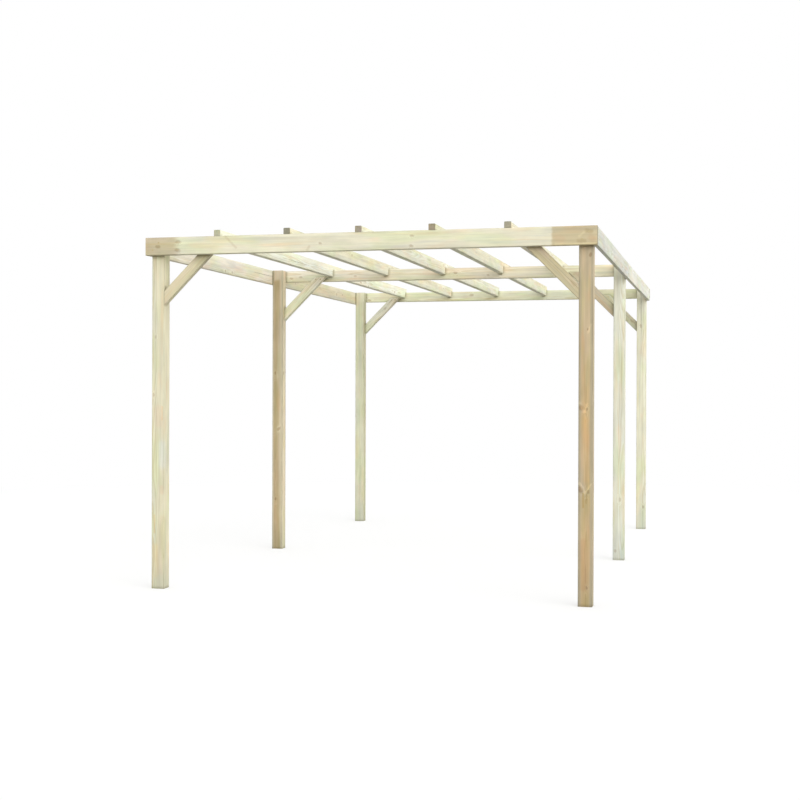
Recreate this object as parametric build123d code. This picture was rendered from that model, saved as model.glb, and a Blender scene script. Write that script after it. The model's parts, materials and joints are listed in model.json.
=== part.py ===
from build123d import *
import os

# Carport frame of planed timber. Lengths in millimetres.
# Origin on the ground at the centre of the plan, +X right seen from the front, +Y to the back, +Z up.

# Whole frame
FRAME_WIDTH = 3040
FRAME_DEPTH = 5120
BEAM_TOP = 2380

# Timber sections
POST_SIDE = 90
BEAM_THICKNESS = 45
FRONT_BEAM_HEIGHT = 120
INNER_BEAM_HEIGHT = 95
SIDE_BEAM_THICKNESS = 28
SIDE_BEAM_HEIGHT = 120
RAFTER_WIDTH = 45
RAFTER_HEIGHT = 95
BRACE_THICKNESS = 45
BRACE_WIDTH = 70
ARRIS = 4

# Rafters: how many, how much wider the last bay on the right is than the others,
# how far they stand above the beams, play on each side of a notch
RAFTER_COUNT = 5
LAST_BAY_EXTRA = 44
RAFTER_STAND = 40
NOTCH_CLEARANCE = 1

# Braces: reach of the lower edge along post and beam underside, room left under the rafters
BRACE_REACH = 335
BRACE_HEADROOM = 5

# Places and lengths in plan that follow from the sizes above
SIDE_BEAM_X = (FRAME_WIDTH - SIDE_BEAM_THICKNESS) / 2
POST_X = SIDE_BEAM_X - (SIDE_BEAM_THICKNESS + POST_SIDE) / 2
POST_INNER_X = POST_X - POST_SIDE / 2
END_BEAM_Y = (FRAME_DEPTH - BEAM_THICKNESS) / 2
POST_TO_BEAM = (POST_SIDE + BEAM_THICKNESS) / 2
BRACE_TO_BEAM = (BRACE_THICKNESS + BEAM_THICKNESS) / 2
FULL_LENGTH = FRAME_WIDTH
INSIDE_LENGTH = FRAME_WIDTH - 2 * SIDE_BEAM_THICKNESS
RAFTER_SPACING = (INSIDE_LENGTH - LAST_BAY_EXTRA) / (RAFTER_COUNT + 1)

# Heights that follow from the sizes above
RAFTER_BOTTOM = BEAM_TOP + RAFTER_STAND - RAFTER_HEIGHT
BRACE_TOP = RAFTER_BOTTOM - BRACE_HEADROOM

SIDES = {"left": -1, "right": 1}

# Each cross row: beam centre in depth, side of the posts that carries the beam, beam height, beam length
ROWS = {
    "front": (-END_BEAM_Y, -1, FRONT_BEAM_HEIGHT, FULL_LENGTH),
    "middle": (0, 1, INNER_BEAM_HEIGHT, INSIDE_LENGTH),
    "rear": (END_BEAM_Y, 1, INNER_BEAM_HEIGHT, FULL_LENGTH),
}


def timber(size_x, size_y, size_z, along):
    """A planed timber with eased long arrises, centred in plan, its top face on the level of the origin."""
    bar = Box(size_x, size_y, size_z, align=(Align.CENTER, Align.CENTER, Align.MAX))
    return chamfer(bar.edges().filter_by(along), ARRIS)


def post(side, beam_y, carry):
    """A post from the ground to the top of the beams."""
    bar = timber(POST_SIDE, POST_SIDE, BEAM_TOP, Axis.Z)
    return Pos(side * POST_X, beam_y - carry * POST_TO_BEAM, BEAM_TOP) * bar


def cross_beam(beam_y, height, length):
    """A beam from side to side on the faces of a row of posts."""
    return Pos(0, beam_y, BEAM_TOP) * timber(length, BEAM_THICKNESS, height, Axis.X)


def side_beam(side, start_y, end_y):
    """One length of a side beam, on the outer faces of the posts."""
    bar = timber(SIDE_BEAM_THICKNESS, end_y - start_y, SIDE_BEAM_HEIGHT, Axis.Y)
    return Pos(side * SIDE_BEAM_X, (start_y + end_y) / 2, BEAM_TOP) * bar


def rafter(centre_x):
    """A rafter over the whole depth, notched down over the three cross beams."""
    bar = timber(RAFTER_WIDTH, FRAME_DEPTH, RAFTER_HEIGHT, Axis.Y)
    bar = Pos(centre_x, 0, BEAM_TOP + RAFTER_STAND) * bar
    notch = Box(
        2 * RAFTER_WIDTH,
        BEAM_THICKNESS + 2 * NOTCH_CLEARANCE,
        RAFTER_HEIGHT,
        align=(Align.CENTER, Align.CENTER, Align.MAX),
    )
    for beam_y, carry, height, length in ROWS.values():
        bar -= Pos(centre_x, beam_y, BEAM_TOP) * notch
    return bar


def left_brace(beam_y, carry, beam_height):
    """A brace from the inner face of a left post up onto the inner face of the cross beam, at 45 degrees."""
    foot = BEAM_TOP - beam_height - BRACE_REACH
    run = BRACE_TOP - foot
    slant_cut = BRACE_WIDTH * 2 ** 0.5
    outline = Plane.XZ * Polygon(
        (0, foot),
        (run, BRACE_TOP),
        (run - slant_cut, BRACE_TOP),
        (0, foot + slant_cut),
        align=None,
    )
    bar = extrude(outline, amount=BRACE_THICKNESS / 2, both=True)
    bar = chamfer(bar.edges().filter_by(Axis((0, 0, 0), (1, 0, 1))), ARRIS)
    return Pos(-POST_INNER_X, beam_y - carry * BRACE_TO_BEAM, 0) * bar


def row_pieces(row):
    """Posts, beam and braces of one cross row, by node name."""
    beam_y, carry, height, length = ROWS[row]
    pieces = {f"{row}_beam": cross_beam(beam_y, height, length)}
    for name, side in SIDES.items():
        brace = left_brace(beam_y, carry, height)
        pieces[f"{row}_{name}_post"] = post(side, beam_y, carry)
        pieces[f"{row}_{name}_brace"] = brace if side < 0 else mirror(brace, about=Plane.YZ)
    return pieces


def side_pieces():
    """Side beams, each side in two lengths that meet at the centre of the middle post."""
    inner_end = END_BEAM_Y - BEAM_THICKNESS / 2
    meeting = -POST_TO_BEAM
    pieces = {}
    for name, side in SIDES.items():
        pieces[f"{name}_side_beam_front"] = side_beam(side, -inner_end, meeting)
        pieces[f"{name}_side_beam_rear"] = side_beam(side, meeting, inner_end)
    return pieces


def rafter_pieces():
    """Rafters at even centres, set out from the inner face of the left side beam and counted from there."""
    first_x = RAFTER_SPACING - INSIDE_LENGTH / 2
    return {f"rafter_{i + 1}": rafter(first_x + i * RAFTER_SPACING) for i in range(RAFTER_COUNT)}


pieces = {}
for row in ROWS:
    pieces.update(row_pieces(row))
pieces.update(side_pieces())
pieces.update(rafter_pieces())

os.makedirs("parts", exist_ok=True)
for node, shape in pieces.items():
    export_step(shape, f"parts/{node}.step")
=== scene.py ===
import json
import math
import random
from dataclasses import dataclass

import bmesh
import bpy
import numpy as np
from mathutils import Matrix, Vector


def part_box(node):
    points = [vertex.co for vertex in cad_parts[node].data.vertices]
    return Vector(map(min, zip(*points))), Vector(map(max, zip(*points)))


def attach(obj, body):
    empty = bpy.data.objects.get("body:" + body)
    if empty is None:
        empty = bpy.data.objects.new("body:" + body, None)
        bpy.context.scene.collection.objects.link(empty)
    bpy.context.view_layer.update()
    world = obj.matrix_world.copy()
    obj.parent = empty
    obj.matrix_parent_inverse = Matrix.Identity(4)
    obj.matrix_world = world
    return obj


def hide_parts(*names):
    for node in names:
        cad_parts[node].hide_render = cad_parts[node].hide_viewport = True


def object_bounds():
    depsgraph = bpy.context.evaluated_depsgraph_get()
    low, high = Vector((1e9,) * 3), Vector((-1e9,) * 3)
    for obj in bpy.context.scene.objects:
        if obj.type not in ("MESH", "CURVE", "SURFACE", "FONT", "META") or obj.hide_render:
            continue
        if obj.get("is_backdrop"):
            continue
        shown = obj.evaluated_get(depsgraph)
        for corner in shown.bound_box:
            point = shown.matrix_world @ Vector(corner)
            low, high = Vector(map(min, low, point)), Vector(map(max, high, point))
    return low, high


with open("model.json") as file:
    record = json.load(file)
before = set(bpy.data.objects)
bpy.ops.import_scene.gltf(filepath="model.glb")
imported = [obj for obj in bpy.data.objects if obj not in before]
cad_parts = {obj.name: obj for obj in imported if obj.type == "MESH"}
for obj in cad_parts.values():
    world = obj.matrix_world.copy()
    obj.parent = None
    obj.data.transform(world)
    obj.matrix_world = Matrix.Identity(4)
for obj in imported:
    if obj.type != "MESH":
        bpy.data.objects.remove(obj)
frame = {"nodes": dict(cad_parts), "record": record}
cad_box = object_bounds()

# Camera, in metres and degrees: yaw is to the left of +Y, seen from above
CAMERA_PLACE = (2.362, -10.792, 1.333)
CAMERA_YAW = 14.316
CAMERA_PITCH = -0.290
CAMERA_ROLL = 0.184
CAMERA_LENS = 59.37
SENSOR_WIDTH = 36.0
RIGHT_ANGLE = 90.0
MATRIX_SIZE = 4

# Light: sky strength at the horizon and overhead; azimuths run from the front to the right, in degrees
SKY_COLOUR = (0.985, 0.99, 1.0)
SKY_STRENGTHS = (1.46, 0.62)
KEY_COLOUR = (1.0, 0.995, 0.985)
KEY_STRENGTH = 1.85
KEY_SPREAD = 70.0
KEY_AZIMUTH = 48.0
KEY_ELEVATION = 22.0
FILL_COLOUR = (1.0, 1.0, 1.0)
FILL_STRENGTH = 0.35
FILL_SPREAD = 120.0
FILL_AZIMUTH = 222.0
FILL_ELEVATION = 30.0

# Floor, in metres
FLOOR_RADIUS = 60.0
FLOOR_SIDES = 96
FLOOR_SHOWN = (0.93, 0.93, 0.92)
FLOOR_BOUNCE = (0.27, 0.262, 0.225)
FLOOR_FADE_START = 4.0
FLOOR_FADE_END = 9.0
FLOOR_WHITE_SHARE = 0.5

# Planed timber, in metres
ARRIS_RADIUS = 0.005
ARRIS_STEPS = 4
STATION_SPACING = 0.025
LEAST_STATIONS = 12
BOW = 0.001
FACE_POINT_SHARES = (-1.0, -0.66, 0.66, 1.0)
CUT_OVERRUN = 0.02
NOTCH_CLEARANCE = 0.001
SMOOTH_ANGLE = 40.0
DIAGONAL_SHARE = 0.5 ** 0.5

# Drying cracks, in metres, and how often they wave from side to side, in radians a metre
CRACK_DEPTH = (0.003, 0.008)
CRACK_WIDTH = 0.0011
CRACK_LENGTH = (0.25, 0.9)
CRACK_CHANCE_SHARE = 0.45
CRACK_PLACE_SHARE = 0.4
CRACK_WANDER_SHARE = 0.05
CRACK_WAVES = (1.0, 3.0)
CLOSED_WIDTH = 0.0003

# Growth of the wood, in metres
RING_SPACING = 0.0042
RING_WOBBLE = 0.004
PITH_WANDER = 0.045
HEART_WOBBLE = 0.05
HEART_EDGES = (0.045, 0.085)
KNOT_RADII = (0.004, 0.010)
KNOT_SPACING = 0.65
KNOT_DRIFT = (0.012, 0.012, 0.012)
KNOT_BULGE = 0.014
WHORL_KNOTS = 2
WHORL_SPREAD = 0.015
KNOT_REACH_SHARE = 0.7
KNOT_SLOPE_SHARE = 0.25
KNOT_SQUEEZE_SHARES = (0.5, 1.0, 1.0)
KNOT_LENGTH = 1.0
KNOT_ROOT_SHARE = 0.3
FAR_FROM_KNOTS = 100.0

# Parts of a year's growth where the late wood comes in and ends
LATE_START_SHARES = (0.25, 0.85)
LATE_END_SHARES = (0.9, 1.0)

# Distances from a knot's axis, in knot radii, over which its parts come in or end
CORE_END = (0.55, 1.0)
RIM_START = (0.45, 0.85)
RIM_END = (0.9, 1.5)
COLLAR_START = (1.0, 1.6)
COLLAR_END = (1.8, 4.0)
BULGE_END = (0.6, 3.2)
MARK_END = (0.3, 1.4)

# Stretch of the wood's patterns along and across the grain, in cycles per metre
PITH_PATTERN = (0.9, 2.0, 2.0)
RING_PATTERN = (2.5, 40.0, 40.0)
HEART_PATTERN = (1.5, 18.0, 18.0)
STREAK_PATTERN = (0.9, 55.0, 55.0)
BLOTCH_PATTERN = (4.5, 16.0, 16.0)
FIBRE_PATTERN = (5.0, 420.0, 420.0)
KNOT_PATTERN = (40.0, 40.0, 40.0)
EDGE_PATTERN = (7.0, 30.0, 30.0)

# Noise: octaves of a plain shift, of the grain and of wear, and its middle level
PLAIN_DETAIL = 2.0
GRAIN_DETAIL = 3.0
WEAR_DETAIL = 4.0
NOISE_MIDDLE = (0.5, 0.5, 0.5)

# Colours of early wood and so on, as shares of a timber's tone
EARLY_SHARES = (1.02, 1.022, 1.035)
LATE_SHARES = (0.965, 0.95, 0.92)
HEART_SHARES = (0.985, 0.935, 0.83)
COLLAR_SHARES = (1.05, 1.05, 1.06)
KNOT_SHARES = (0.82, 0.73, 0.62)
RIM_SHARES = (0.72, 0.63, 0.52)
ARRIS_SHARES = (0.68, 0.69, 0.66)
FOOT_SHARES = (0.90, 0.915, 0.93)

# How strongly those colours show
HEART_SHARE = 0.4
BROWN_HEART_SHARE = 0.95
COLLAR_SHARE = 0.25
RIM_SHARE = 0.5
FOOT_SHARE = 0.8
KNOT_SHARE = 0.5
DARK_KNOT_SHARES = {"front_right_post": 0.65, "middle_left_post": 0.7}
ARRIS_SHARE = 0.7
GREY_EDGE_SHARE = 0.9

# Darker arrises, grey edges and damp feet: where they end, and how unevenly, in metres
ARRIS_ENDS = (0.002, 0.011)
GREY_EDGE_ENDS = (0.013, 0.028)
EDGE_WANDER = 0.010
FOOT_ENDS = (0.0, 0.3)
FOOT_WANDER = 0.2

# Painted shade in the corners where timbers meet: its reach in metres, and how open a place is where it is
# full and gone
JOINT_REACH = 0.03
JOINT_ENDS = (0.5, 0.95)
JOINT_SHARES = (0.70, 0.69, 0.62)
JOINT_SHARE = 0.7
JOINT_SAMPLES = 8

# Light and dark of fibres, streaks and blotches, from the low to the high end of their noise
NOISE_ENDS = (0.33, 0.67)
FIBRE_SHADES = (0.95, 1.05)
STREAK_SHADES = (0.95, 1.05)
BLOTCH_SHADES = (0.95, 1.05)

# Shade inside a drying crack, and the share of the deepest crack at which it is full
GAP_SHADE = 0.3
GAP_FULL_SHARE = 0.6

# Relief and gloss
BUMP_STRENGTH = 0.35
BUMP_DISTANCE = 0.0012
RING_RELIEF = 0.5
KNOT_RELIEF = -0.6
WOOD_ROUGHNESS = (0.58, 0.8)

# Centre of the growth rings in a timber's section, as shares of half its width and depth
PITH_SHARES = {
    "front_right_post": (0.15, -0.5),
    "middle_left_post": (-0.3, -0.7),
    "front_beam": (2.4, 2.0),
    "rear_left_post": (1.5, 0.0),
}

# The same for other posts and for boards: the most to either side, and the least and most behind
POST_PITH_SHARES = (1.2, (0.5, 1.4))
BOARD_PITH_SHARES = (0.8, (1.6, 3.2))


@dataclass
class Tint:
    """A tint that covers the wood in patches, by the level of a noise."""
    shares: tuple
    pattern: tuple
    start: float
    full: float
    strength: float


# Green of the treatment, pink, weathered grey, and warm streaks
TINTS = (
    Tint((0.962, 0.992, 0.925), (2.6, 10.0, 10.0), 0.44, 0.64, 0.8),
    Tint((1.02, 0.965, 0.93), (3.2, 13.0, 13.0), 0.5, 0.68, 0.6),
    Tint((0.94, 0.955, 0.985), (2.0, 15.0, 15.0), 0.5, 0.68, 0.7),
    Tint((0.985, 0.92, 0.82), (1.6, 34.0, 34.0), 0.54, 0.74, 0.5),
)
TINT_STEP = (7.3, 3.1, 5.7)
SEED_REACH = 50.0

# Tone of each timber as screen values from 0 to 255
RAFTER_TONE = (234, 233, 212)
TONES = {
    "front_left_post": (222, 217, 189),
    "front_right_post": (196, 180, 150),
    "middle_left_post": (228, 216, 187),
    "middle_right_post": (226, 226, 208),
    "rear_left_post": (220, 219, 193),
    "rear_right_post": (229, 227, 203),
    "front_beam": (229, 225, 201),
    "middle_beam": (239, 233, 212),
    "rear_beam": (236, 235, 207),
    "left_side_beam_front": (240, 234, 218),
    "left_side_beam_rear": (226, 220, 196),
    "right_side_beam_front": (212, 213, 203),
    "right_side_beam_rear": (225, 225, 213),
    "front_left_brace": (218, 212, 187),
    "front_right_brace": (203, 187, 159),
    "middle_left_brace": (242, 240, 220),
    "middle_right_brace": (207, 197, 174),
    "rear_left_brace": (231, 231, 212),
    "rear_right_brace": (207, 206, 184),
    "rafter_1": (242, 242, 223),
}

# Tones of the heartwood and the grey edges of some posts
HEART_TONES = {
    "front_right_post": (198, 171, 126),
    "middle_left_post": (187, 166, 128),
    "rear_left_post": (190, 187, 154),
}
GREY_EDGE_TONES = {"front_right_post": (174, 162, 135), "middle_left_post": (198, 188, 160)}


@dataclass
class WeatheringAndShade:
    """A tone at one end of a timber, weathered on most timbers and painted shade on a few: -1 is the low
    end and 1 the high end, then the length it covers, the tone, and the length over which it fades."""
    end: int
    length: float
    tone: tuple
    fade: float


WEATHERED_AND_SHADED_ENDS = {
    "front_beam": (
        WeatheringAndShade(-1, 0.270, (199, 182, 152), 0.07),
        WeatheringAndShade(1, 0.293, (200, 184, 144), 0.02),
    ),
    "middle_beam": (WeatheringAndShade(1, 0.42, (240, 232, 204), 0.1),),
    # The rear beam darker towards both ends; at the right end this is painted shade
    "rear_beam": (
        WeatheringAndShade(-1, 0.16, (213, 209, 181), 0.1),
        WeatheringAndShade(1, 0.60, (213, 209, 181), 0.1),
    ),
    "middle_left_post": (WeatheringAndShade(1, 0.10, (214, 200, 175), 0.03),),
    "middle_left_brace": (WeatheringAndShade(-1, 0.30, (246, 246, 224), 0.2),),
    "front_right_post": (WeatheringAndShade(1, 1.15, (199, 180, 147), 0.5),),
    # Painted shadow of the front beam on the top end of the front left brace
    "front_left_brace": (WeatheringAndShade(1, 0.30, (189, 176, 150), 0.2),),
}
WEATHERED_AND_SHADED_SHARE = 0.85

# Sawn ends: how far a face has to look along the grain, and the tone as a share of the faces, or its own
SAWN_ENDS = (0.5, 0.8)
SAWN_SHARE = 0.73
SAWN_TONES = {
    "rafter_1": (192, 190, 163),
    "rafter_2": (142, 141, 125),
    "rafter_3": (168, 157, 144),
    "rafter_4": (160, 148, 125),
    "rafter_5": (163, 163, 144),
}

# Knots that show in the photo: share of the length from the low end, share across the face, radius
FACE_KNOTS = {
    "front_beam": (
        (0.030, 0.48, 0.008), (0.078, 0.72, 0.010), (0.076, 0.27, 0.008),
        (0.407, 0.45, 0.005), (0.609, 0.16, 0.006), (0.611, 0.70, 0.006),
    ),
    "front_right_post": (
        (0.051, 0.62, 0.005), (0.309, 0.12, 0.009), (0.303, 0.72, 0.006), (0.524, 0.20, 0.008),
        (0.519, 0.60, 0.005), (0.730, 0.62, 0.004), (0.925, 0.80, 0.006),
    ),
    "middle_left_post": ((0.180, 0.35, 0.007), (0.431, 0.65, 0.007), (0.632, 0.30, 0.007)),
    "middle_right_post": ((0.031, 0.25, 0.006), (0.205, 0.60, 0.008)),
    "rear_right_post": ((0.092, 0.75, 0.007), (0.843, 0.45, 0.009)),
    "front_left_post": ((0.554, 0.15, 0.005), (0.719, 0.30, 0.005)),
}


@dataclass
class Mark:
    """A streak or patch on a timber's front face, between two places in shares of its length and width."""
    start: tuple
    end: tuple
    radius: float
    shares: tuple
    strength: float


# Colours of marks on the wood, as shares of a timber's tone
SWIRL_SHARES = (1.13, 1.13, 1.12)
BESIDE_SHARES = (0.93, 0.84, 0.58)
BRANCH_SHARES = (0.86, 0.81, 0.72)
WARM_SHARES = (1.04, 1.0, 0.92)
RED_SHARES = (0.96, 0.88, 0.86)
RESIN_SHARES = (1.0, 0.90, 0.78)
BLEACHED_SHARES = (1.015, 1.04, 1.13)
PINK_SHARES = (1.01, 0.955, 0.95)
MARKS = {
    "front_right_post": (
        Mark((0.490, 0.52), (0.335, 0.50), 0.024, WARM_SHARES, 0.45),
        Mark((0.170, 0.36), (0.050, 0.40), 0.026, RED_SHARES, 0.5),
        Mark((0.537, 0.08), (0.512, 0.42), 0.009, SWIRL_SHARES, 0.65),
        Mark((0.535, 0.62), (0.516, 0.48), 0.006, SWIRL_SHARES, 0.4),
        Mark((0.325, 0.12), (0.299, 0.46), 0.009, SWIRL_SHARES, 0.8),
        Mark((0.322, 0.88), (0.303, 0.56), 0.007, SWIRL_SHARES, 0.7),
        Mark((0.742, 0.86), (0.722, 0.66), 0.008, SWIRL_SHARES, 0.5),
        Mark((0.298, 0.34), (0.262, 0.34), 0.006, BESIDE_SHARES, 0.6),
        Mark((0.296, 0.60), (0.272, 0.56), 0.005, BESIDE_SHARES, 0.5),
    ),
    "front_beam": (
        Mark((0.191, 0.92), (0.215, 0.30), 0.009, BRANCH_SHARES, 0.35),
        Mark((0.378, 0.10), (0.383, 0.28), 0.010, BRANCH_SHARES, 0.35),
        Mark((0.915, 0.05), (0.995, 0.05), 0.009, SWIRL_SHARES, 0.6),
        Mark((0.963, 0.45), (0.976, 0.72), 0.008, SWIRL_SHARES, 0.4),
        Mark((0.978, 0.74), (0.988, 0.70), 0.014, BRANCH_SHARES, 0.5),
        Mark((0.962, 0.22), (0.974, 0.22), 0.014, BRANCH_SHARES, 0.4),
        Mark((0.987, 0.40), (0.991, 0.30), 0.022, RED_SHARES, 0.45),
        Mark((0.918, 0.40), (0.928, 0.30), 0.026, PINK_SHARES, 0.55),
    ),
    "front_left_post": (
        Mark((0.410, 0.86), (0.355, 0.90), 0.036, BLEACHED_SHARES, 0.65),
        Mark((0.510, 0.50), (0.475, 0.65), 0.040, PINK_SHARES, 0.55),
        Mark((0.520, 0.84), (0.483, 0.84), 0.006, RESIN_SHARES, 0.5),
        Mark((0.211, 0.25), (0.160, 0.25), 0.006, RESIN_SHARES, 0.6),
        Mark((0.290, 0.85), (0.275, 0.85), 0.016, PINK_SHARES, 0.7),
        Mark((0.200, 0.90), (0.050, 0.80), 0.030, PINK_SHARES, 0.5),
        Mark((0.120, 0.28), (0.040, 0.30), 0.026, WARM_SHARES, 0.5),
    ),
}

# Screws, in metres
SCREW_RADIUS = 0.0058
SCREW_SIDES = 24
SCREW_SINK = 0.0006
SCREW_RIM = 0.0004
SCREW_CROWN = 0.0012
SCREW_FLOOR = 0.0003
SCREW_CROWN_SHARE = 0.86
RECESS_SHARE = 0.44
RECESS_LOBE_SHARE = 0.07
RECESS_FLOOR_SHARE = 0.85
RECESS_LOBES = 6
SCREW_PAIR_SHARES = (0.3, 0.7)
SCREW_PAIR_STEP = 0.022
BRACE_WIDTH = 0.070
BRACE_PAIR_STEP = 0.020
BRACE_FOOT_STEP = 0.045
ZINC_TONE = (212, 196, 152)
TARNISH_TONE = (178, 164, 128)
ZINC_PATTERN = (300.0, 300.0, 300.0)
ZINC_ENDS = (0.3, 0.7)
ZINC_ROUGHNESS = (0.28, 0.5)

# Curve from screen values to the renderer's linear light
SCREEN_WHITE = 255
CURVE_FOOT = 0.04045
CURVE_SLOPE = 12.92
CURVE_OFFSET = 0.055
CURVE_POWER = 2.4
WHITE = (1.0, 1.0, 1.0, 1.0)

# Sockets of the node that mixes colours
MIX_FACTOR = 0
MIX_FIRST = 6
MIX_SECOND = 7
MIX_RESULT = 2

# Names in the nodes, and directions
ROWS = ("front", "middle", "rear")
SIDES = ("left", "right")
RIGHT = Vector((1, 0, 0))
BACK = Vector((0, 1, 0))
UP = Vector((0, 0, 1))


def light_of(value):
    """The linear light of a screen value from 0 to 1."""
    if value <= CURVE_FOOT:
        return value / CURVE_SLOPE
    return ((value + CURVE_OFFSET) / (1 + CURVE_OFFSET)) ** CURVE_POWER


def linear(tone, shares=(1, 1, 1)):
    """A tone of screen values, or shares of it, as the renderer's linear colour."""
    values = [min(value * share / SCREEN_WHITE, 1) for value, share in zip(tone, shares)]
    return (*map(light_of, values), 1)


class Graph:
    """A short way to write the nodes of a material."""

    def __init__(self, tree):
        self.tree = tree
        tree.nodes.clear()

    def node(self, kind, **settings):
        """A new node with its settings."""
        node = self.tree.nodes.new(kind)
        for key, value in settings.items():
            setattr(node, key, value)
        return node

    def feed(self, socket, value):
        """Links a socket to another, or sets its value."""
        if isinstance(value, bpy.types.NodeSocket):
            self.tree.links.new(value, socket)
        else:
            socket.default_value = value

    def call(self, node, *values, output=0):
        """Feeds a node's inputs in their order and gives one of its outputs."""
        for socket, value in zip(node.inputs, values):
            if value is not None:
                self.feed(socket, value)
        return node.outputs[output]

    def math(self, operation, a, b=None, c=None):
        return self.call(self.node("ShaderNodeMath", operation=operation), a, b, c)

    def vector(self, operation, a, b=None, output=0):
        return self.call(self.node("ShaderNodeVectorMath", operation=operation), a, b, output=output)

    def noise(self, place, pattern, detail=PLAIN_DETAIL, output=0):
        """A smooth random level at each place."""
        node = self.node("ShaderNodeTexNoise")
        self.feed(node.inputs["Vector"], self.vector("MULTIPLY", place, pattern))
        self.feed(node.inputs["Scale"], 1.0)
        self.feed(node.inputs["Detail"], detail)
        return node.outputs[output]

    def drift(self, place, pattern, size):
        """A smooth random shift of a place, of up to about half the size each way."""
        shift = self.vector("SUBTRACT", self.noise(place, pattern, output="Color"), NOISE_MIDDLE)
        return self.vector("MULTIPLY", shift, size)

    def smooth(self, value, start, end, low=0.0, high=1.0):
        """A smooth step from low to high as the value goes from start to end."""
        node = self.node("ShaderNodeMapRange", interpolation_type="SMOOTHSTEP")
        return self.call(node, value, start, end, low, high)

    def mix(self, factor, a, b, blend="MIX"):
        node = self.node("ShaderNodeMix", data_type="RGBA", blend_type=blend)
        self.feed(node.inputs[MIX_FACTOR], factor)
        self.feed(node.inputs[MIX_FIRST], a)
        self.feed(node.inputs[MIX_SECOND], b)
        return node.outputs[MIX_RESULT]

    def shaded(self, colour, shade):
        """A colour made lighter or darker by a shade around one."""
        grey = self.node("ShaderNodeCombineXYZ")
        for socket in grey.inputs:
            self.feed(socket, shade)
        return self.mix(1.0, colour, grey.outputs[0], blend="MULTIPLY")

    def finish(self, shader, kind="ShaderNodeOutputMaterial"):
        """Leads a shader to the output."""
        self.feed(self.node(kind).inputs["Surface"], shader)


def new_material(name):
    """A material without nodes, and its graph."""
    material = bpy.data.materials.new(name)
    material.use_nodes = True
    return material, Graph(material.node_tree)


def new_object(name, mesh):
    """An object from a bmesh, with its faces turned outwards."""
    bmesh.ops.recalc_face_normals(mesh, faces=mesh.faces[:])
    data = bpy.data.meshes.new(name)
    mesh.to_mesh(data)
    mesh.free()
    piece = bpy.data.objects.new(name, data)
    bpy.context.scene.collection.objects.link(piece)
    return piece


@dataclass
class Timber:
    """A straight timber of the frame: its axes, and its box along them."""
    node: str
    along: Vector
    wide: Vector
    deep: Vector

    def __post_init__(self):
        self.axes = np.array([self.along, self.wide, self.deep])
        points = np.array([v.co for v in frame["nodes"][self.node].data.vertices])
        local = points @ self.axes.T
        self.centre = (local.max(0) + local.min(0)) / 2
        self.half = (local.max(0) - local.min(0)) / 2
        self.length = 2 * self.half[0]
        self.random = random.Random(self.node)
        self.pith = self.find_pith()
        self.root_share = 1 if self.node.endswith("_post") else KNOT_ROOT_SHARE

    def find_pith(self):
        """Centre of the growth rings in the section: inside or beside a post, behind a board."""
        draw = self.random.uniform
        back = 1 if self.node in FACE_KNOTS else self.random.choice((-1, 1))
        spread, depths = POST_PITH_SHARES if self.node.endswith("_post") else BOARD_PITH_SHARES
        shares = PITH_SHARES.get(self.node, (draw(-spread, spread), back * draw(*depths)))
        return shares[0] * self.half[1], shares[1] * self.half[2]


def timber_axes(node):
    """Along, wide and deep axes of the timber in a node."""
    if node.endswith("_post"):
        return UP, RIGHT, BACK
    if node.endswith("_brace"):
        inward = RIGHT if "_left_" in node else -RIGHT
        return (UP + inward) * DIAGONAL_SHARE, (UP - inward) * DIAGONAL_SHARE, BACK
    if node.endswith("_beam"):
        return RIGHT, UP, BACK
    return BACK, UP, RIGHT


def crack_depths(timber, places):
    """Depth of one drying crack along a face, at each station."""
    rng = timber.random
    if rng.random() > CRACK_CHANCE_SHARE:
        return np.zeros_like(places)
    half = min(rng.uniform(*CRACK_LENGTH), timber.length) / 2
    middle = rng.uniform(-timber.half[0], timber.half[0])
    share = np.clip(1 - ((places - middle) / half) ** 2, 0, 1)
    return rng.uniform(*CRACK_DEPTH) * np.sqrt(share)


def face_points(timber, places, reach):
    """Places across one face and their depth below it, for each station, with a drying crack."""
    rng = timber.random
    depth = crack_depths(timber, places)
    wander = np.sin(places * rng.uniform(*CRACK_WAVES) + rng.uniform(0, math.tau)) * CRACK_WANDER_SHARE
    centre = (rng.uniform(-CRACK_PLACE_SHARE, CRACK_PLACE_SHARE) + wander) * reach
    lip = CLOSED_WIDTH + CRACK_WIDTH * depth / CRACK_DEPTH[1]
    flat = np.zeros_like(places)
    before = [(flat + share * reach, flat) for share in FACE_POINT_SHARES if share < 0]
    after = [(flat + share * reach, flat) for share in FACE_POINT_SHARES if share > 0]
    return before + [(centre - lip, flat), (centre, depth), (centre + lip, flat)] + after


def section_rings(timber, places):
    """Section points of a timber at each station, with the depth of each below its face."""
    normals = np.array([(1, 0), (0, 1), (-1, 0), (0, -1)], float)
    points, depths = [], []
    for k, normal in enumerate(normals):
        tangent = normals[(k + 1) % len(normals)]
        distance = timber.half[1 + k % 2]
        reach = timber.half[2 - k % 2] - ARRIS_RADIUS
        for across, depth in face_points(timber, places, reach):
            points.append(np.outer(across, tangent) + np.outer(distance - depth, normal))
            depths.append(depth)
        corner = normal * (distance - ARRIS_RADIUS) + tangent * reach
        for step in range(1, ARRIS_STEPS):
            turn = math.pi / 2 * step / ARRIS_STEPS
            offset = ARRIS_RADIUS * (math.cos(turn) * normal + math.sin(turn) * tangent)
            points.append(np.tile(corner + offset, (len(places), 1)))
            depths.append(np.zeros_like(places))
    return np.stack(points, 1), np.stack(depths, 1)


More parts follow.
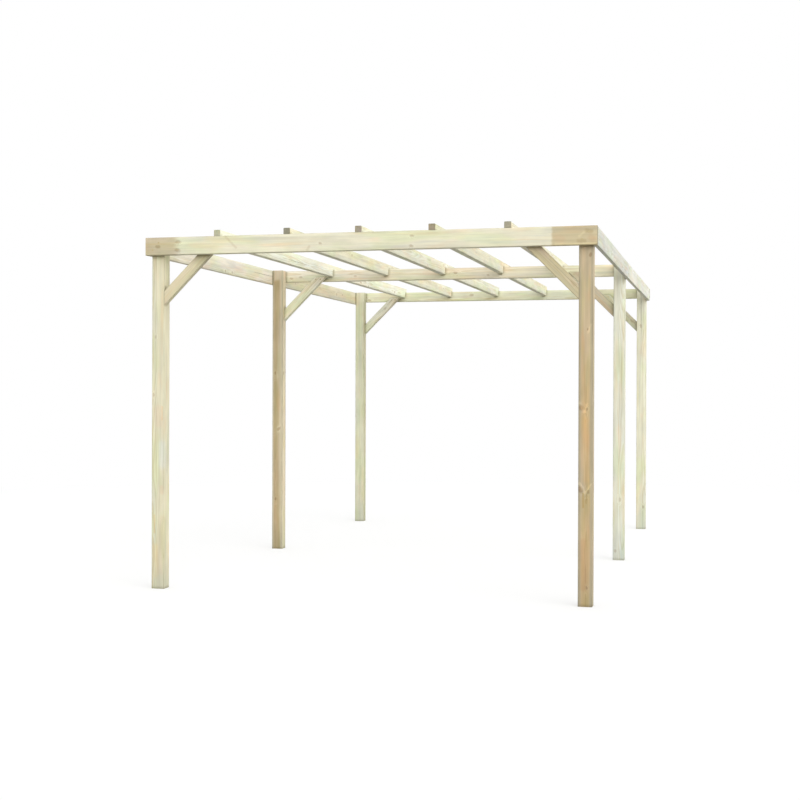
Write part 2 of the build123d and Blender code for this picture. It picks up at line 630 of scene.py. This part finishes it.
def timber_mesh(timber):
    """A planed bar with rounded arrises, drying cracks and a slight bow, capped at both ends.
    A brace is longer than it has to be, and is sawn off later."""
    stations = max(LEAST_STATIONS, round(timber.length / STATION_SPACING))
    reach = timber.half[0] + (CUT_OVERRUN if timber.node.endswith("_brace") else 0)
    places = np.linspace(-reach, reach, stations)
    rings, depths = section_rings(timber, places)
    bow = np.sin(math.tau * places / timber.length) * BOW * timber.random.choice((-1, 1))
    rings[:, :, 1] += bow[:, None]
    size = rings.shape[1]
    local = np.concatenate([np.repeat(places, size)[:, None], rings.reshape(-1, 2)], 1) + timber.centre
    mesh = bmesh.new()
    crack = mesh.verts.layers.float.new("crack")
    points = [mesh.verts.new(point) for point in local @ timber.axes]
    for point, depth in zip(points, depths.ravel()):
        point[crack] = depth / CRACK_DEPTH[1]
    for i in range(stations - 1):
        for j in range(size):
            k = (j + 1) % size
            mesh.faces.new((points[i * size + j], points[i * size + k],
                            points[(i + 1) * size + k], points[(i + 1) * size + j]))
    mesh.faces.new(points[:size])
    mesh.faces.new(points[-size:])
    return mesh


def cut_flat(mesh, point, normal):
    """Saws off what lies beyond a plane and closes the cut."""
    geometry = mesh.verts[:] + mesh.edges[:] + mesh.faces[:]
    cut = bmesh.ops.bisect_plane(mesh, geom=geometry, plane_co=point, plane_no=normal, clear_outer=True)
    rim = [e for e in cut["geom_cut"] if isinstance(e, bmesh.types.BMEdge)]
    bmesh.ops.contextual_create(mesh, geom=rim)


def saw_brace(mesh, node):
    """The plumb cut of a brace on its post and the level cut at its top."""
    low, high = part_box(node)
    if "_left_" in node:
        cut_flat(mesh, low, -RIGHT)
    else:
        cut_flat(mesh, high, RIGHT)
    cut_flat(mesh, high, UP)


def notch_cutter(node):
    """Blocks that cut a rafter down over the three cross beams."""
    low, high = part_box(node)
    cutter = bmesh.new()
    for row in ROWS:
        beam_low, beam_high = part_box(f"{row}_beam")
        start = Vector((low[0] - CUT_OVERRUN, beam_low[1] - NOTCH_CLEARANCE, low[2] - CUT_OVERRUN))
        end = Vector((high[0] + CUT_OVERRUN, beam_high[1] + NOTCH_CLEARANCE, beam_high[2]))
        place = Matrix.Translation((start + end) / 2) @ Matrix.Diagonal((*(end - start), 1))
        bmesh.ops.create_cube(cutter, size=1, matrix=place)
    return new_object("cutter", cutter)


def notch_rafter(piece, node):
    """Cuts the notches into a rafter's mesh."""
    cutter = notch_cutter(node)
    modifier = piece.modifiers.new("notches", "BOOLEAN")
    modifier.operation = "DIFFERENCE"
    modifier.solver = "EXACT"
    modifier.object = cutter
    bpy.context.view_layer.update()
    graph = bpy.context.evaluated_depsgraph_get()
    data = bpy.data.meshes.new_from_object(piece.evaluated_get(graph))
    piece.modifiers.clear()
    piece.data = data
    bpy.data.objects.remove(cutter)


def store_grain(piece, timber):
    """Keeps each point's place along and across the timber, which the wood's growth follows."""
    data = piece.data
    points = np.array([v.co for v in data.vertices]) @ timber.axes.T - timber.centre
    attribute = data.attributes.new("grain", "FLOAT_VECTOR", "POINT")
    attribute.data.foreach_set("vector", points.astype(np.float32).ravel())


def face_place(timber, along_share, across_share):
    """A place on the front face of a timber, in the timber's own axes."""
    half_length, half_wide, half_deep = timber.half
    return Vector(((2 * along_share - 1) * half_length, (2 * across_share - 1) * half_wide, -half_deep))


def whorl_knots(timber, knots):
    """Knots on a post's other faces, at the heights of those on its front."""
    rng = timber.random
    others = []
    for place, _ in knots:
        for _ in range(WHORL_KNOTS):
            angle = rng.uniform(0, math.pi)
            across = timber.pith[0] + math.cos(angle) * timber.half[1]
            depth = timber.pith[1] + math.sin(angle) * timber.half[2]
            height = place.x + rng.uniform(-WHORL_SPREAD, WHORL_SPREAD)
            others.append((Vector((height, across, depth)), rng.uniform(*KNOT_RADII)))
    return others


def timber_knots(timber):
    """A place that each knot grows through, and its radius."""
    rng = timber.random
    if timber.node in FACE_KNOTS:
        seen = FACE_KNOTS[timber.node]
        knots = [(face_place(timber, along, across), radius) for along, across, radius in seen]
        return knots + (whorl_knots(timber, knots) if timber.node.endswith("_post") else [])
    knots = []
    for _ in range(round(timber.length / KNOT_SPACING)):
        reaches = (1, KNOT_REACH_SHARE, KNOT_REACH_SHARE)
        place = [rng.uniform(-reach, reach) * half for reach, half in zip(reaches, timber.half)]
        knots.append((Vector(place), rng.uniform(*KNOT_RADII)))
    return knots


def knot_group():
    """Node group: distance to a knot's axis in knot radii, or the nearest so far if that is less."""
    group = bpy.data.node_groups.new("knot", "ShaderNodeTree")
    vectors = ("Position", "Start", "Direction")
    numbers = ("Length", "Radius", "Nearest")
    sockets = {name: "Vector" for name in vectors} | {name: "Float" for name in numbers}
    for name, kind in sockets.items():
        group.interface.new_socket(name, in_out="INPUT", socket_type=f"NodeSocket{kind}")
    group.interface.new_socket("Nearest", in_out="OUTPUT", socket_type="NodeSocketFloat")
    g = Graph(group)
    source = g.node("NodeGroupInput").outputs
    position, start, direction, length, radius, nearest = [source[name] for name in sockets]
    offset = g.vector("SUBTRACT", position, start)
    reach = g.math("MAXIMUM", g.vector("DOT_PRODUCT", offset, direction, output="Value"), 0.0)
    reach = g.math("MINIMUM", reach, length)
    axis_point = g.node("ShaderNodeVectorMath", operation="SCALE")
    g.feed(axis_point.inputs[0], direction)
    g.feed(axis_point.inputs["Scale"], reach)
    distance = g.vector("LENGTH", g.vector("SUBTRACT", offset, axis_point.outputs[0]), output="Value")
    closer = g.math("MINIMUM", g.math("DIVIDE", distance, radius), nearest)
    g.feed(g.node("NodeGroupOutput").inputs[0], closer)
    return group


KNOT_GROUP = knot_group()


def knot_distance(g, timber, place):
    """Distance from the nearest knot's axis, in knot radii, for knots that are longer along the grain."""
    place = g.vector("MULTIPLY", place, KNOT_SQUEEZE_SHARES)
    nearest = FAR_FROM_KNOTS
    for through, radius in timber_knots(timber):
        root = (timber.pith[0] * timber.root_share, timber.pith[1])
        outward = Vector((0, through.y - root[0], through.z - root[1]))
        outward.x = KNOT_SLOPE_SHARE * outward.length
        start = Vector((through.x * KNOT_SQUEEZE_SHARES[0] - outward.x, *root))
        node = g.node("ShaderNodeGroup", node_tree=KNOT_GROUP)
        nearest = g.call(node, place, start, outward.normalized(), KNOT_LENGTH, radius, nearest)
    return nearest


def add_marks(g, timber, tone, colour, place):
    """Streaks and patches on the front face."""
    for mark in MARKS.get(timber.node, ()):
        start = face_place(timber, *mark.start)
        run = face_place(timber, *mark.end) - start
        node = g.node("ShaderNodeGroup", node_tree=KNOT_GROUP)
        distance = g.call(node, place, start, run.normalized(), run.length, mark.radius, FAR_FROM_KNOTS)
        share = g.smooth(distance, *MARK_END, mark.strength, 0)
        colour = tinted(g, share, colour, tone, mark.shares)
    return colour


def growth_rings(g, timber, position, seeded, nearest):
    """Distance from a wandering pith, pushed outwards by knots, and the share of late wood there."""
    place = g.vector("ADD", position, g.drift(seeded, PITH_PATTERN, (0, PITH_WANDER, PITH_WANDER)))
    from_pith = g.vector("SUBTRACT", place, (0, *timber.pith))
    radius = g.vector("LENGTH", g.vector("MULTIPLY", from_pith, (0, 1, 1)), output="Value")
    radius = g.math("ADD", radius, g.smooth(nearest, *BULGE_END, KNOT_BULGE, 0))
    radius = g.math("MULTIPLY_ADD", g.noise(seeded, RING_PATTERN, GRAIN_DETAIL), RING_WOBBLE, radius)
    phase = g.math("FRACT", g.math("DIVIDE", radius, RING_SPACING))
    late_end = g.smooth(phase, *LATE_END_SHARES, 1, 0)
    late = g.math("MULTIPLY", g.smooth(phase, *LATE_START_SHARES), late_end)
    return radius, late


def wood_colour(g, timber, tone, radius, late, seeded):
    """Early and late wood, and heart."""
    colour = g.mix(late, linear(tone, EARLY_SHARES), linear(tone, LATE_SHARES))
    edge = g.math("MULTIPLY_ADD", g.noise(seeded, HEART_PATTERN), HEART_WOBBLE, radius)
    if timber.node in HEART_TONES:
        strength, heart_tone = BROWN_HEART_SHARE, HEART_TONES[timber.node]
    else:
        strength, heart_tone = HEART_SHARE, [value * share for value, share in zip(tone, HEART_SHARES)]
    heart = g.mix(late, linear(heart_tone, EARLY_SHARES), linear(heart_tone, LATE_SHARES))
    return g.mix(g.smooth(edge, *HEART_EDGES, strength, 0), colour, heart)


def add_tints(g, tone, colour, seeded):
    """The tints of treatment and weather, in patches."""
    for tint in TINTS:
        seeded = g.vector("ADD", seeded, TINT_STEP)
        level = g.noise(seeded, tint.pattern, GRAIN_DETAIL)
        cover = g.smooth(level, tint.start, tint.full, 0, tint.strength)
        colour = tinted(g, cover, colour, tone, tint.shares)
    return colour


def tone_ratio(tone, plain):
    """Colour that turns a plain tone into another when multiplied with it."""
    return [value / plain_value for value, plain_value in zip(linear(tone), linear(plain))]


def tinted(g, share, colour, tone, shares):
    """A colour near a tone, tinted by shares of that tone as strongly as the first share says."""
    ratio = tone_ratio([value * part for value, part in zip(tone, shares)], tone)
    return g.mix(share, colour, ratio, blend="MULTIPLY")


def weathered_and_shaded_ends(g, timber, colour, position, seeded):
    """The tones at the ends of a timber: weathered, and on the rear beam and the front left brace, painted
    shade.
    """
    for end_patch in WEATHERED_AND_SHADED_ENDS.get(timber.node, ()):
        drift = g.drift(seeded, EDGE_PATTERN, (end_patch.fade, 0, 0))
        split = g.node("ShaderNodeSeparateXYZ")
        g.feed(split.inputs[0], g.vector("ADD", position, drift))
        along = g.math("MULTIPLY", split.outputs["X"], end_patch.end)
        edge = timber.half[0] - end_patch.length
        share = g.smooth(along, edge, edge + end_patch.fade, 0, WEATHERED_AND_SHADED_SHARE)
        # Mixes each end towards its tone, which on the rear beam and the front left brace is painted shade
        colour = g.mix(share, colour, linear(end_patch.tone))
    return colour


def sawn_ends(g, timber, tone, colour):
    """The darker tone of the sawn ends."""
    normal = g.node("ShaderNodeNewGeometry").outputs["Normal"]
    facing = g.math("ABSOLUTE", g.vector("DOT_PRODUCT", normal, timber.along, output="Value"))
    end_tone = SAWN_TONES.get(timber.node, [value * SAWN_SHARE for value in tone])
    return g.mix(g.smooth(facing, *SAWN_ENDS), colour, tone_ratio(end_tone, tone), blend="MULTIPLY")


def add_knots(g, timber, tone, colour, nearest):
    """Brown knots with a darker rim and a pale collar, and the share of the rim."""
    strength = DARK_KNOT_SHARES.get(timber.node, KNOT_SHARE)
    collar_end = g.smooth(nearest, *COLLAR_END, COLLAR_SHARE, 0)
    collar = g.math("MULTIPLY", g.smooth(nearest, *COLLAR_START), collar_end)
    colour = tinted(g, collar, colour, tone, COLLAR_SHARES)
    colour = tinted(g, g.smooth(nearest, *CORE_END, strength, 0), colour, tone, KNOT_SHARES)
    rim_end = g.smooth(nearest, *RIM_END, strength * RIM_SHARE, 0)
    rim = g.math("MULTIPLY", g.smooth(nearest, *RIM_START), rim_end)
    return tinted(g, rim, colour, tone, RIM_SHARES), rim


def edge_share(g, timber, position, seeded, ends, strength):
    """The strength given along the long arrises, fading unevenly to nought between the ends given."""
    inside = g.vector("SUBTRACT", tuple(timber.half), g.vector("ABSOLUTE", position))
    split = g.node("ShaderNodeSeparateXYZ")
    g.feed(split.inputs[0], inside)
    distance = g.math("MAXIMUM", split.outputs["Y"], split.outputs["Z"])
    distance = g.math("MULTIPLY_ADD", g.noise(seeded, EDGE_PATTERN, WEAR_DETAIL), EDGE_WANDER, distance)
    return g.smooth(distance, *ends, strength, 0)


def darkened_edges(g, timber, tone, colour, position, seeded):
    """Darker along the arrises, and broad grey edges on the brown posts."""
    if timber.node in GREY_EDGE_TONES:
        share = edge_share(g, timber, position, seeded, GREY_EDGE_ENDS, GREY_EDGE_SHARE)
        colour = g.mix(share, colour, linear(GREY_EDGE_TONES[timber.node]))
    share = edge_share(g, timber, position, seeded, ARRIS_ENDS, ARRIS_SHARE)
    return tinted(g, share, colour, tone, ARRIS_SHARES)


def painted_joint_shade(g, tone, colour):
    """Painted shade: the colour darkened in the corners where timbers meet, more where a place is more
    closed in.
    """
    corner = g.node("ShaderNodeAmbientOcclusion", samples=JOINT_SAMPLES)
    g.feed(corner.inputs["Distance"], JOINT_REACH)
    share = g.smooth(corner.outputs["AO"], *JOINT_ENDS, JOINT_SHARE, 0)
    return tinted(g, share, colour, tone, JOINT_SHARES)


def foot_share(g, timber, position, seeded):
    """Share of the damp grey near the ground."""
    split = g.node("ShaderNodeSeparateXYZ")
    g.feed(split.inputs[0], position)
    height = g.math("ADD", split.outputs["X"], timber.half[0])
    height = g.math("MULTIPLY_ADD", g.noise(seeded, EDGE_PATTERN, WEAR_DETAIL), -FOOT_WANDER, height)
    return g.smooth(height, *[end - FOOT_WANDER / 2 for end in FOOT_ENDS], FOOT_SHARE, 0)


def timber_shade(g, seeded, fibre):
    """Light and dark of fibres, streaks, blotches and drying cracks together."""
    crack = g.node("ShaderNodeAttribute", attribute_name="crack").outputs["Fac"]
    shade = g.smooth(fibre, *NOISE_ENDS, *FIBRE_SHADES)
    for pattern, shades in ((STREAK_PATTERN, STREAK_SHADES), (BLOTCH_PATTERN, BLOTCH_SHADES)):
        level = g.noise(seeded, pattern, GRAIN_DETAIL)
        shade = g.math("MULTIPLY", shade, g.smooth(level, *NOISE_ENDS, *shades))
    return g.math("MULTIPLY", shade, g.smooth(crack, 0, GAP_FULL_SHARE, 1, GAP_SHADE))


def timber_relief(g, fibre, late, rim):
    """Bump of fibres, growth rings and knots."""
    height = g.math("MULTIPLY_ADD", late, RING_RELIEF, fibre)
    bump = g.node("ShaderNodeBump")
    g.feed(bump.inputs["Strength"], BUMP_STRENGTH)
    g.feed(bump.inputs["Distance"], BUMP_DISTANCE)
    g.feed(bump.inputs["Height"], g.math("MULTIPLY_ADD", rim, KNOT_RELIEF, height))
    return bump.outputs[0]


def timber_material(timber):
    """Planed and treated pine with growth rings, knots, fibres and drying cracks, for one timber."""
    tone = TONES.get(timber.node, RAFTER_TONE)
    material, g = new_material(f"{timber.node}_wood")
    position = g.node("ShaderNodeAttribute", attribute_name="grain").outputs["Vector"]
    shift = [timber.random.uniform(-SEED_REACH, SEED_REACH) for _ in "xyz"]
    seeded = g.vector("ADD", position, shift)
    drifted = g.vector("ADD", position, g.drift(position, KNOT_PATTERN, KNOT_DRIFT))
    nearest = knot_distance(g, timber, drifted)
    radius, late = growth_rings(g, timber, position, seeded, nearest)
    colour = wood_colour(g, timber, tone, radius, late, seeded)
    colour = weathered_and_shaded_ends(g, timber, colour, position, seeded)
    colour = add_tints(g, tone, colour, seeded)
    colour = darkened_edges(g, timber, tone, colour, position, seeded)
    if timber.node.endswith("_post"):
        colour = tinted(g, foot_share(g, timber, position, seeded), colour, tone, FOOT_SHARES)
    colour = add_marks(g, timber, tone, colour, drifted)
    colour, rim = add_knots(g, timber, tone, colour, nearest)
    colour = sawn_ends(g, timber, tone, colour)
    # Painted shade, darker in the corners where timbers meet
    colour = painted_joint_shade(g, tone, colour)
    fibre = g.noise(seeded, FIBRE_PATTERN, GRAIN_DETAIL)
    surface = g.node("ShaderNodeBsdfPrincipled")
    g.feed(surface.inputs["Base Color"], g.shaded(colour, timber_shade(g, seeded, fibre)))
    g.feed(surface.inputs["Roughness"], g.smooth(fibre, *NOISE_ENDS, *WOOD_ROUGHNESS))
    g.feed(surface.inputs["Normal"], timber_relief(g, fibre, late, rim))
    g.finish(surface.outputs[0])
    return material


def build_timber(node):
    """Replaces a node's plain solid by its finished timber."""
    timber = Timber(node, *timber_axes(node))
    mesh = timber_mesh(timber)
    if node.endswith("_brace"):
        saw_brace(mesh, node)
    piece = new_object(f"{node}_timber", mesh)
    if node.startswith("rafter_"):
        notch_rafter(piece, node)
    store_grain(piece, timber)
    piece.data.shade_smooth()
    piece.data.set_sharp_from_angle(angle=math.radians(SMOOTH_ANGLE))
    piece.data.materials.clear()
    piece.data.materials.append(timber_material(timber))
    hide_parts(node)
    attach(piece, "root")


def beam_screws():
    """Two screws through each cross beam into each post."""
    for row in ROWS:
        low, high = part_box(f"{row}_beam")
        outward = -BACK if row == "front" else BACK
        y = low[1] if row == "front" else high[1]
        for side in SIDES:
            post_low, post_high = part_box(f"{row}_{side}_post")
            x = (post_low[0] + post_high[0]) / 2
            for share, step in zip(SCREW_PAIR_SHARES, (-SCREW_PAIR_STEP, SCREW_PAIR_STEP)):
                yield Vector((x + step, y, low[2] + share * (high[2] - low[2]))), outward


def side_beam_screws():
    """Two screws through each end of each side beam into the post there."""
    for side, length in [(side, length) for side in SIDES for length in ("front", "rear")]:
        low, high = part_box(f"{side}_side_beam_{length}")
        outward = -RIGHT if side == "left" else RIGHT
        x = low[0] if side == "left" else high[0]
        for row in (length, "middle"):
            post_low, post_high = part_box(f"{row}_{side}_post")
            y = (max(low[1], post_low[1]) + min(high[1], post_high[1])) / 2
            for share in SCREW_PAIR_SHARES:
                yield Vector((x, y, low[2] + share * (high[2] - low[2]))), outward


def rafter_screws():
    """A screw down through each rafter into each cross beam."""
    for node in frame["nodes"]:
        if node.startswith("rafter_"):
            low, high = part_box(node)
            for row in ROWS:
                beam_low, beam_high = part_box(f"{row}_beam")
                yield Vector(((low[0] + high[0]) / 2, (beam_low[1] + beam_high[1]) / 2, high[2])), UP


def brace_screws():
    """Two screws through each brace into its beam, and one from below into its post."""
    for row, side in [(row, side) for row in ROWS for side in SIDES]:
        low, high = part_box(f"{row}_{side}_brace")
        beam_low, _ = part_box(f"{row}_beam")
        inward = RIGHT if side == "left" else -RIGHT
        foot = Vector((low[0] if side == "left" else high[0], 0, low[2]))
        rise = (beam_low[2] + high[2]) / 2 - foot.z
        lap = foot + UP * rise + inward * (rise - BRACE_WIDTH * DIAGONAL_SHARE)
        lap.y = high[1] if row == "front" else low[1]
        for step in (-BRACE_PAIR_STEP, BRACE_PAIR_STEP):
            yield lap + RIGHT * step, BACK if row == "front" else -BACK
        toe = foot + (UP + inward) * BRACE_FOOT_STEP
        toe.y = (low[1] + high[1]) / 2
        yield toe, (inward - UP) * DIAGONAL_SHARE


def add_screw(mesh, point, outward):
    """A countersunk head with a six-lobed recess."""
    turn = outward.to_track_quat("Z", "Y").to_matrix()
    rings = ((1, 0, -SCREW_SINK), (1, 0, SCREW_RIM), (SCREW_CROWN_SHARE, 0, SCREW_CROWN),
             (RECESS_SHARE, RECESS_LOBE_SHARE, SCREW_CROWN),
             (RECESS_SHARE * RECESS_FLOOR_SHARE, RECESS_LOBE_SHARE, SCREW_FLOOR))
    loops = []
    for share, lobe, height in rings:
        loop = []
        for k in range(SCREW_SIDES):
            angle = math.tau * k / SCREW_SIDES
            radius = SCREW_RADIUS * (share + lobe * math.cos(RECESS_LOBES * angle))
            offset = Vector((radius * math.cos(angle), radius * math.sin(angle), height))
            loop.append(mesh.verts.new(point + turn @ offset))
        loops.append(loop)
    for inner, outer in zip(loops[1:], loops):
        for k in range(SCREW_SIDES):
            mesh.faces.new((outer[k - 1], outer[k], inner[k], inner[k - 1]))
    mesh.faces.new(loops[-1])
    mesh.faces.new(loops[0][::-1])


def zinc_material():
    """Yellow zinc plating, duller in patches."""
    material, g = new_material("yellow_zinc")
    place = g.node("ShaderNodeTexCoord").outputs["Object"]
    patches = g.noise(place, ZINC_PATTERN, WEAR_DETAIL)
    surface = g.node("ShaderNodeBsdfPrincipled")
    g.feed(surface.inputs["Base Color"], g.mix(patches, linear(ZINC_TONE), linear(TARNISH_TONE)))
    g.feed(surface.inputs["Metallic"], 1.0)
    g.feed(surface.inputs["Roughness"], g.smooth(patches, *ZINC_ENDS, *ZINC_ROUGHNESS))
    g.finish(surface.outputs[0])
    return material


def build_screws():
    """All screw heads of the frame as one mesh."""
    mesh = bmesh.new()
    for places in (beam_screws(), side_beam_screws(), rafter_screws(), brace_screws()):
        for point, outward in places:
            add_screw(mesh, point, outward)
    piece = new_object("screw_heads", mesh)
    piece.data.shade_smooth()
    piece.data.set_sharp_from_angle(angle=math.radians(SMOOTH_ANGLE))
    piece.data.materials.append(zinc_material())
    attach(piece, "root")


def seen_share(g):
    """One for rays that show a surface or the sky as it is, nought for rays that light the object."""
    rays = g.node("ShaderNodeLightPath").outputs
    seen = g.math("MAXIMUM", rays["Is Camera Ray"], rays["Is Glossy Ray"])
    return g.math("MAXIMUM", seen, rays["Is Transmission Ray"])


def add_floor():
    """A pale floor that keeps the shadow and fades into the white backdrop."""
    mesh = bmesh.new()
    bmesh.ops.create_circle(mesh, cap_ends=True, radius=FLOOR_RADIUS, segments=FLOOR_SIDES)
    floor = new_object("floor", mesh)
    material, g = new_material("floor_white")
    seen = seen_share(g)
    diffuse = g.node("ShaderNodeBsdfDiffuse")
    g.feed(diffuse.inputs["Color"], g.mix(seen, (*FLOOR_BOUNCE, 1), (*FLOOR_SHOWN, 1)))
    distance = g.vector("LENGTH", g.node("ShaderNodeTexCoord").outputs["Object"], output="Value")
    fade = g.smooth(distance, FLOOR_FADE_START, FLOOR_FADE_END, FLOOR_WHITE_SHARE, 1)
    white = g.node("ShaderNodeEmission").outputs[0]
    share = g.math("MULTIPLY", fade, seen)
    g.finish(g.call(g.node("ShaderNodeMixShader"), share, diffuse.outputs[0], white))
    floor.data.materials.append(material)
    floor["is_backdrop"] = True


def add_sky():
    """A soft sky, brighter towards the horizon, that shows as white."""
    world = bpy.data.worlds.new("sky")
    bpy.context.scene.world = world
    world.use_nodes = True
    g = Graph(world.node_tree)
    direction = g.node("ShaderNodeSeparateXYZ")
    g.feed(direction.inputs[0], g.node("ShaderNodeTexCoord").outputs["Generated"])
    sky = g.node("ShaderNodeBackground")
    g.feed(sky.inputs["Color"], (*SKY_COLOUR, 1))
    g.feed(sky.inputs["Strength"], g.smooth(direction.outputs["Z"], 0, 1, *SKY_STRENGTHS))
    white = g.node("ShaderNodeBackground")
    g.feed(white.inputs["Color"], WHITE)
    shader = g.call(g.node("ShaderNodeMixShader"), seen_share(g), sky.outputs[0], white.outputs[0])
    g.finish(shader, "ShaderNodeOutputWorld")


def add_sun(name, colour, strength, spread, azimuth, elevation):
    """A broad soft lamp."""
    sun = bpy.data.lights.new(name, "SUN")
    sun.energy = strength
    sun.color = colour
    sun.angle = math.radians(spread)
    lamp = bpy.data.objects.new(name, sun)
    lamp.rotation_euler = (math.radians(RIGHT_ANGLE - elevation), 0, math.radians(azimuth))
    bpy.context.scene.collection.objects.link(lamp)


def add_camera():
    """The camera at the photo's place and angle."""
    data = bpy.data.cameras.new("camera")
    data.sensor_width = SENSOR_WIDTH
    data.lens = CAMERA_LENS
    camera = bpy.data.objects.new("camera", data)
    turn = Matrix.Rotation(math.radians(CAMERA_YAW), MATRIX_SIZE, "Z")
    tilt = Matrix.Rotation(math.radians(RIGHT_ANGLE + CAMERA_PITCH), MATRIX_SIZE, "X")
    roll = Matrix.Rotation(math.radians(CAMERA_ROLL), MATRIX_SIZE, "Z")
    camera.matrix_world = Matrix.Translation(CAMERA_PLACE) @ turn @ tilt @ roll
    bpy.context.scene.collection.objects.link(camera)
    bpy.context.scene.camera = camera


for subpart in frame["record"]["subparts"]:
    build_timber(subpart["node"])
build_screws()
add_floor()
add_sky()
add_sun("key", KEY_COLOUR, KEY_STRENGTH, KEY_SPREAD, KEY_AZIMUTH, KEY_ELEVATION)
add_sun("fill", FILL_COLOUR, FILL_STRENGTH, FILL_SPREAD, FILL_AZIMUTH, FILL_ELEVATION)
add_camera()
bpy.context.scene.view_settings.view_transform = "Standard"

boxes = {"cad": cad_box, "visual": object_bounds()}
{name: [list(corner) for corner in box] for name, box in boxes.items()}
